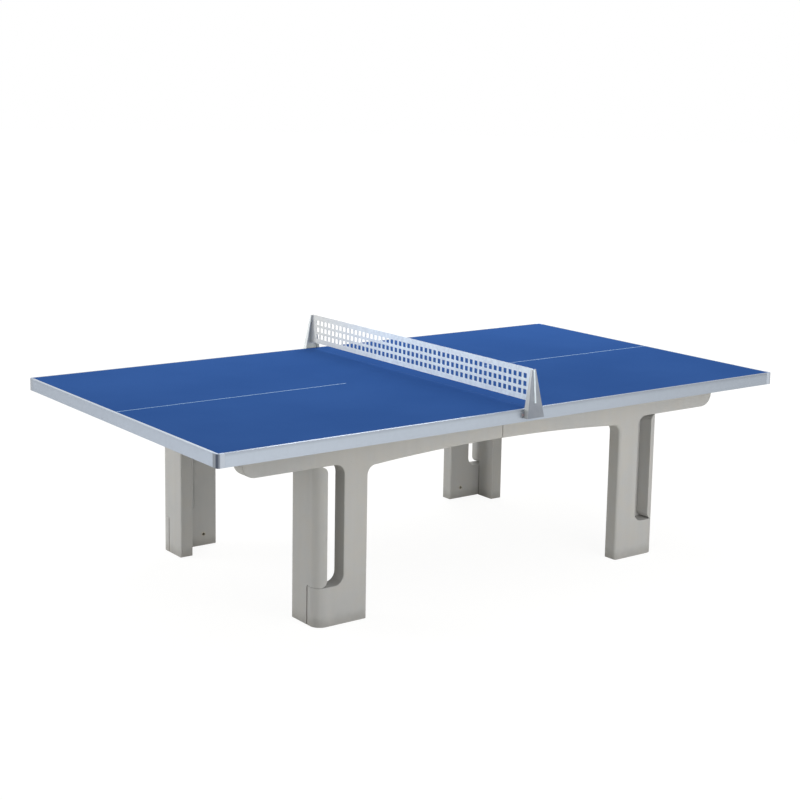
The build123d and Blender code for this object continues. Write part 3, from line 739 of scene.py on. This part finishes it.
@dataclass(frozen=True)
class Rubber(Finish):
    """Black bearing rubber with a dusty moulded skin."""

    name: str = "bearing_rubber"
    body: Colour = display(44, 44, 45)
    dust: Colour = display(120, 117, 110)
    dust_share: float = 0.35
    roughness: float = 0.78
    relief_depth: float = 0.0002

    def paint(self, graph: Graph) -> None:
        """Fill the graph with a fine moulded skin and dust in patches.

        Args:
            graph: Graph of the material.
        """
        place = graph.place()
        skin = graph.noise(place, scale=600.0, detail=3.0, roughness=0.6)
        dusty = graph.noise(place, scale=25.0, detail=5.0, roughness=0.7).rise(-0.05, 0.35)
        graph.surface({
            "Base Color": graph.blended(dusty * self.dust_share, self.body, self.dust),
            "Roughness": self.roughness + skin * 0.2,
            "Normal": graph.relief(skin, self.relief_depth),
        })


# ----------------------------------------------------------------------- pieces
class Body(Enum):
    """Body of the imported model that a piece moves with."""

    TABLE = "table"
    NET = "net"


def put_piece(name: str, shape: bmesh.types.BMesh, finish: Finish, body: Body) -> bpy.types.Object:
    """Turn a bmesh into a piece that rides on a body.

    Args:
        name: Name of the piece.
        shape: Its shape, in place, which is used up.
        finish: Finish of its whole surface.
        body: Body that it moves with.

    Returns:
        The piece.
    """
    bmesh.ops.recalc_face_normals(shape, faces=shape.faces)
    mesh = bpy.data.meshes.new(name)
    shape.to_mesh(mesh)
    shape.free()
    mesh.shade_smooth()
    mesh.set_sharp_from_angle(angle=SMOOTH_ANGLE)
    mesh.materials.append(finish.material())
    piece = bpy.data.objects.new(name, mesh)
    bpy.context.scene.collection.objects.link(piece)
    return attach(piece, body.value)


def dress(finish: Finish, *nodes: str) -> Iterator[str]:
    """Give solid pieces a finish.

    Args:
        finish: Finish of their whole surface.
        nodes: Names of the pieces, or the words that their names start with.

    Yields:
        The name of each dressed piece.
    """
    for name, piece in sorted(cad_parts.items()):
        if name.startswith(nodes):
            for slot in piece.material_slots:
                slot.material = finish.material()
            yield name


def block(size: Triple) -> bmesh.types.BMesh:
    """Make a square block about the origin.

    Args:
        size: Its length along X, Y and Z.

    Returns:
        The block.
    """
    shape = bmesh.new()
    bmesh.ops.create_cube(shape, size=1.0)
    bmesh.ops.scale(shape, verts=shape.verts, vec=size)
    return shape


def round_edges(shape: bmesh.types.BMesh, edges: list[bmesh.types.BMEdge], reach: float,
                segments: int) -> None:
    """Round some edges of a shape.

    Args:
        shape: Shape that is changed.
        edges: Edges to round.
        reach: How far from the edge the round starts.
        segments: Number of flats in the round.
    """
    bmesh.ops.bevel(shape, geom=edges, offset=reach, affect="EDGES", segments=segments,
                    profile=0.5, material=-1)


class Assembly(ABC):
    """Group of pieces that are made and dressed together."""

    @abstractmethod
    def build(self) -> Iterator[str]:
        """Make and dress the pieces, and give the name of each."""


@dataclass
class PlayingSurface(Assembly):
    """Two coated slabs with a painted centre line on each and a sealed joint between them."""

    line_width: float = 0.0040
    line_height: float = 0.00025
    line_start: float = 0.335  # from the net
    line_end_round: float = 0.45  # share of the line's width
    line_edge_round: float = 0.4  # share of the line's height
    rail_lip: float = 0.0104
    seal_depth: float = 0.006
    seal_clearance: float = 0.0002
    seal_round: float = 0.4  # share of the seal's width

    def build(self) -> Iterator[str]:
        """Dress the slabs, paint their lines and seal their joint.

        Yields:
            The name of each piece.
        """
        yield from dress(CoatedSlab(), "slab_left", "slab_right")
        outer_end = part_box("end_rail_right")[1].x - self.rail_lip
        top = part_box("slab_right")[1].z
        for side, word in ((-1, "left"), (1, "right")):
            line = self._line(outer_end - self.line_start)
            middle = side * (outer_end + self.line_start) / 2
            bmesh.ops.translate(line, verts=line.verts, vec=(middle, 0.0, top))
            yield put_piece(f"centre_line_{word}", line, LinePaint(), Body.TABLE).name
        yield put_piece("slab_joint_seal", self._seal(), JointSeal(), Body.TABLE).name

    def _seal(self) -> bmesh.types.BMesh:
        """Make the strip of compound in the joint.

        Returns:
            A strip just below the playing surface, with rounded upper edges.
        """
        left_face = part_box("slab_left")[1].x
        right_face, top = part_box("slab_right")[0].x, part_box("slab_right")[1].z
        width = right_face - left_face - 2 * self.seal_clearance
        length = 2 * (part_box("long_rail_rear_left")[1].y - self.rail_lip)
        seal = block((width, length, self.seal_depth))
        along = [e for e in seal.edges if min(v.co.z for v in e.verts) > 0
                 and abs(e.verts[0].co.y - e.verts[1].co.y) > 0]
        round_edges(seal, along, width * self.seal_round, segments=4)
        height = top - self.seal_clearance - self.seal_depth / 2
        bmesh.ops.translate(seal, verts=seal.verts,
                            vec=((left_face + right_face) / 2, 0.0, height))
        return seal

    def _line(self, length: float) -> bmesh.types.BMesh:
        """Make a painted strip about the origin.

        Args:
            length: Length of the strip.

        Returns:
            A thin strip with rounded ends and soft upper edges.
        """
        strip = block((length, self.line_width, self.line_height))
        upright = [e for e in strip.edges if abs(e.verts[0].co.z - e.verts[1].co.z) > 0]
        round_edges(strip, upright, self.line_width * self.line_end_round, segments=4)
        top = [e for e in strip.edges if min(v.co.z for v in e.verts) > 0]
        round_edges(strip, top, self.line_height * self.line_edge_round, segments=2)
        return strip


@dataclass
class EdgeRails(Assembly):
    """Aluminium rails and corners round the slabs, and the screws that hold them."""

    def build(self) -> Iterator[str]:
        """Dress rails, corners and screws.

        Yields:
            The name of each piece.
        """
        yield from dress(DrawnAluminium(), "long_rail")
        # painted light: the end rails' upward faces are paler than their sides
        end = DrawnAluminium("rail_end", Grain.ACROSS_TABLE, body=display(166, 175, 187),
                             rubbed=display(188, 200, 212), fade=0.15, top_dimming=0.06)
        yield from dress(end, "end_rail")
        yield from dress(CornerCasting(), "corner_front")
        # painted shade: lighter on the rear corners' end-facing sides than on the front ones
        yield from dress(CornerCasting("corner_rear", flank=display(158, 164, 172)), "corner_rear")
        yield from dress(BrushedSteel(roughness=0.34), "rail_screws")


@dataclass
class ConcreteBase(Assembly):
    """Side frames, end plates and their bearing strips."""

    def build(self) -> Iterator[str]:
        """Dress castings and rubber."""
        yield from dress(CastConcrete(), "side_frame", "end_plate", "tie_plugs")
        yield from dress(Rubber(), "frame_pad", "plate_pad")


@dataclass
class Net(Assembly):
    """Perforated sheet, its end bars and the brackets that hold them."""

    bead_waist: float = 0.00078  # radius between two ripples
    bead_ripple: float = 0.72  # waist against crest
    bead_sides: int = 8
    bead_pitch: float = 0.0022
    bead_margin: float = 0.004

    def build(self) -> Iterator[str]:
        """Dress sheet, bars and brackets, and lay the weld beads.

        Yields:
            The name of each piece.
        """
        yield from dress(ZincCoat(), "net_panel")
        bar = ZincCoat("bar_zinc", body=display(213, 223, 230), dark=display(201, 211, 220),
                       bloom=display(219, 227, 232))
        yield from dress(bar, "net_end_bar")
        bracket = BrushedSteel("bracket_steel", body=display(138, 144, 154),
                               pale=display(206, 210, 212), metallic=0.35, mottle=0.15,
                               flank=1.0, foot=0.75)
        yield from dress(bracket, "net_bracket_front")
        # painted light: a paler copy of the bracket steel for the rear bracket, whose inner face
        # lies in shade
        lit_rear_copy = BrushedSteel("lit_rear_bracket", body=display(221, 225, 224),
                               pale=display(234, 236, 234), metallic=0.05, roughness=0.6,
                               mottle=0.3)
        yield from dress(lit_rear_copy, "net_bracket_rear")
        stained = BrushedSteel("stained_screw", body=display(136, 122, 126),
                               pale=display(150, 134, 138), metallic=0.3, roughness=0.5)
        yield from dress(stained, "bracket_screws")
        yield from self._welds()

    def _welds(self) -> Iterator[str]:
        """Lay a bead along each corner between the sheet and its end bars.

        Yields:
            The name of each bead.
        """
        sheet_low, sheet_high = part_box("net_panel")
        for word, y in (("front", sheet_low.y), ("rear", sheet_high.y)):
            bar_low, bar_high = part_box(f"net_end_bar_{word}")
            low = max(bar_low.z, sheet_low.z) + self.bead_margin
            high = min(bar_high.z, sheet_high.z) - self.bead_margin
            inward = -math.copysign(self.bead_waist, y)
            for side, face in (("left", sheet_low.x), ("right", sheet_high.x)):
                weld = self._bead(high - low)
                bmesh.ops.translate(weld, verts=weld.verts, vec=(face, y + inward, low))
                name = f"net_weld_{word}_{side}"
                yield put_piece(name, weld, ZincCoat(), Body.NET).name

    def _bead(self, length: float) -> bmesh.types.BMesh:
        """Make an upright weld bead that starts at the origin.

        Args:
            length: Length of the bead.

        Returns:
            A ribbed bead with closed ends.
        """
        bead = bmesh.new()
        count = round(length / self.bead_pitch)
        ring = bmesh.ops.create_circle(bead, segments=self.bead_sides,
                                       radius=self.bead_waist)["verts"]
        edges = list({e for v in ring for e in v.link_edges})
        bmesh.ops.contextual_create(bead, geom=edges)
        for step in range(1, 2 * count + 1):
            grown = bmesh.ops.extrude_edge_only(bead, edges=edges)["geom"]
            ring = [g for g in grown if isinstance(g, bmesh.types.BMVert)]
            edges = [g for g in grown if isinstance(g, bmesh.types.BMEdge)
                     and all(v in ring for v in g.verts)]
            wide = 1 / self.bead_ripple if step % 2 else self.bead_ripple
            centre = sum((v.co for v in ring), Vector()) / len(ring)
            bmesh.ops.scale(bead, verts=ring, vec=(wide, wide, 1.0),
                            space=Matrix.Translation(-centre))
            bmesh.ops.translate(bead, verts=ring, vec=(0.0, 0.0, length / (2 * count)))
        bmesh.ops.contextual_create(bead, geom=edges)
        return bead


@dataclass
class Fixings(Assembly):
    """Plates, angles, bolts and cast-in sockets under the table."""

    def build(self) -> Iterator[str]:
        """Dress the fixings.

        Yields:
            The name of each piece.
        """
        zinc = ZincCoat("fixing_zinc", body=display(172, 178, 184), dark=display(138, 144, 152),
                        bloom=display(196, 199, 202), metallic=0.7, roughness=0.42,
                        rear_shade_share=0.0)
        yield from dress(zinc, "splice_plate", "slab_joint_plate", "slab_angles")
        bolt = BrushedSteel("bolt_steel", body=display(150, 154, 160), roughness=0.36)
        yield from dress(bolt, "splice_bolts", "angle_bolts", "angle_screws", "tie_bolts",
                         "joint_screws")
        socket = BrushedSteel("socket_steel", body=display(112, 114, 118),
                              pale=display(150, 152, 156), roughness=0.45)
        yield from dress(socket, "frame_sockets", "slab_sockets", "edge_sockets")
        # dust and painted light: a pale copy of the socket steel that lifts the shade in the deep
        # ground sockets
        dusty = BrushedSteel("dusty_lit_socket", body=display(184, 179, 168),
                             pale=display(196, 191, 181), metallic=0.0, roughness=0.8)
        yield from dress(dusty, "ground_sockets")


# ------------------------------------------------------------------------ room
@dataclass(frozen=True)
class PaleFloor(Finish):
    """White floor that fades into the bright room and keeps the table's shadow."""

    name: str = "pale_floor"
    paper: Colour = display(231, 230, 223)
    glow: float = 1.12
    shadow_share: float = 0.18
    fade_start: float = 2.6
    fade_end: float = 5.5

    def paint(self, graph: Graph) -> None:
        """Fill the graph with paper for the light and a glowing white for the eye.

        Args:
            graph: Graph of the material.
        """
        place = graph.place()
        across = graph.part(place, "X") ** 2 + graph.part(place, "Y") ** 2
        near = (across ** 0.5).fall(self.fade_start, self.fade_end)
        camera, seen = graph.eye_rays()
        paper_share = camera * near * self.shadow_share + (1 - seen)
        paper = graph.add("ShaderNodeBsdfDiffuse", inputs={"Color": self.paper})
        glow = graph.add("ShaderNodeEmission", inputs={"Color": WHITE, "Strength": self.glow})
        mixed = graph.add("ShaderNodeMixShader", inputs={0: paper_share, 1: glow, 2: paper})
        graph.end_in(mixed)


@dataclass(frozen=True)
class SoftLamp:
    """Rectangular lamp aimed at a point, which metal mirrors unless told otherwise."""

    name: str
    place: Triple
    aim: Triple
    width: float
    height: float
    power: float  # watts
    mirrored: bool = True
    spread: float = 180.0  # degrees

    def hang(self) -> None:
        """Hang the lamp."""
        data = bpy.data.lights.new(self.name, "AREA")
        data.shape = "RECTANGLE"
        data.size = self.width
        data.size_y = self.height
        data.energy = self.power
        data.spread = math.radians(self.spread)
        lamp = bpy.data.objects.new(self.name, data)
        way = Vector(self.aim) - Vector(self.place)
        lamp.matrix_world = Matrix.Translation(self.place) @ way.to_track_quat(
            "-Z", "Y").to_matrix().to_4x4()
        lamp.visible_glossy = self.mirrored
        bpy.context.scene.collection.objects.link(lamp)


@dataclass
class Room:
    """Pale floor, white surroundings and soft lamps."""

    floor_radius: float = 40.0
    floor_sides: int = 96
    floor_drop: float = 0.0004
    sky: float = 0.533  # strength as light, against 1 to the eye
    lamps: tuple[SoftLamp, ...] = (
        SoftLamp("lamp_front", place=(2.5, -6.0, 2.2), aim=(0.5, 0.0, 0.3),
                 width=4.0, height=3.0, power=41.0),
        SoftLamp("lamp_low", place=(0.3, -3.4, 0.8), aim=(0.3, -0.6, 0.66),
                 width=1.6, height=0.8, power=29.7, mirrored=False),
        SoftLamp("lamp_left", place=(-3.6, 2.6, 1.0), aim=(-0.86, 0.55, 0.35),
                 width=2.0, height=1.6, power=64.0, mirrored=False),
        SoftLamp("lamp_net", place=(-2.8, -0.1, 1.3), aim=(0.0, 0.0, 1.0),
                 width=2.2, height=0.2, power=1.4, mirrored=False, spread=32.0),
        SoftLamp("lamp_rear", place=(-3.2, 3.2, 1.9), aim=(-0.8, 0.3, 0.4),
                 width=2.5, height=2.0, power=13.0),
        SoftLamp("lamp_top", place=(-1.0, 1.5, 5.5), aim=(0.0, 0.0, 0.7),
                 width=5.0, height=4.0, power=10.8),
        SoftLamp("lamp_over", place=(1.9, 2.4, 3.0), aim=(0.6, 0.4, 0.76),
                 width=2.0, height=2.0, power=55.7),
    )

    def build(self) -> None:
        """Lay the floor, hang the lamps and light the surroundings."""
        disc = bmesh.new()
        bmesh.ops.create_circle(disc, cap_ends=True, segments=self.floor_sides,
                                radius=self.floor_radius)
        bmesh.ops.translate(disc, verts=disc.verts, vec=(0.0, 0.0, -self.floor_drop))
        mesh = bpy.data.meshes.new("floor")
        disc.to_mesh(mesh)
        disc.free()
        mesh.materials.append(PaleFloor().material())
        floor = bpy.data.objects.new("floor", mesh)
        bpy.context.scene.collection.objects.link(floor)
        for lamp in self.lamps:
            lamp.hang()
        self._light_surroundings()

    def _light_surroundings(self) -> None:
        """Make the world white to the eye and in reflections, and softer as light."""
        world = bpy.data.worlds.new("surroundings")
        bpy.context.scene.world = world
        world.use_nodes = True
        graph = Graph(world.node_tree)
        _, seen = graph.eye_rays()
        white = graph.add("ShaderNodeBackground", inputs={"Color": WHITE, "Strength": 1.0})
        light = graph.add("ShaderNodeBackground", inputs={"Color": WHITE, "Strength": self.sky})
        mixed = graph.add("ShaderNodeMixShader", inputs={0: seen, 1: light, 2: white})
        graph.end_in(mixed, "ShaderNodeOutputWorld")


@dataclass
class Viewpoint:
    """Camera a little above the playing surface, in front of its left-hand end."""

    place: Triple = (-3.9278, -5.2485, 2.0442)
    heading: float = 0.6469  # radians from +Y towards +X
    tilt: float = -0.1714  # radians above the horizon
    roll: float = 0.0198
    sensor: float = 36.0  # millimetres
    lens: float = 71.697  # millimetres
    shift: tuple[float, float] = (-0.025, -0.075)  # shares of the frame's width

    def build(self) -> None:
        """Set the camera up and make it the scene's own."""
        data = bpy.data.cameras.new("viewpoint")
        data.sensor_width = self.sensor
        data.lens = self.lens
        data.shift_x, data.shift_y = self.shift
        camera = bpy.data.objects.new("viewpoint", data)
        turn = (Matrix.Rotation(-self.heading, 4, "Z")
                @ Matrix.Rotation(math.pi / 2 + self.tilt, 4, "X")
                @ Matrix.Rotation(self.roll, 4, "Z"))
        camera.matrix_world = Matrix.Translation(self.place) @ turn
        bpy.context.scene.collection.objects.link(camera)
        bpy.context.scene.camera = camera
        bpy.context.scene.view_settings.view_transform = "Standard"


def main() -> None:
    """Build the table's finish, the room and the camera."""
    logging.basicConfig(level=logging.INFO, format="%(name)s: %(message)s")
    for assembly in (PlayingSurface(), EdgeRails(), ConcreteBase(), Net(), Fixings()):
        for piece in assembly.build():
            LOG.info("%s: %s", type(assembly).__name__, piece)
    Room().build()
    Viewpoint().build()


if __name__ == "__main__":
    main()
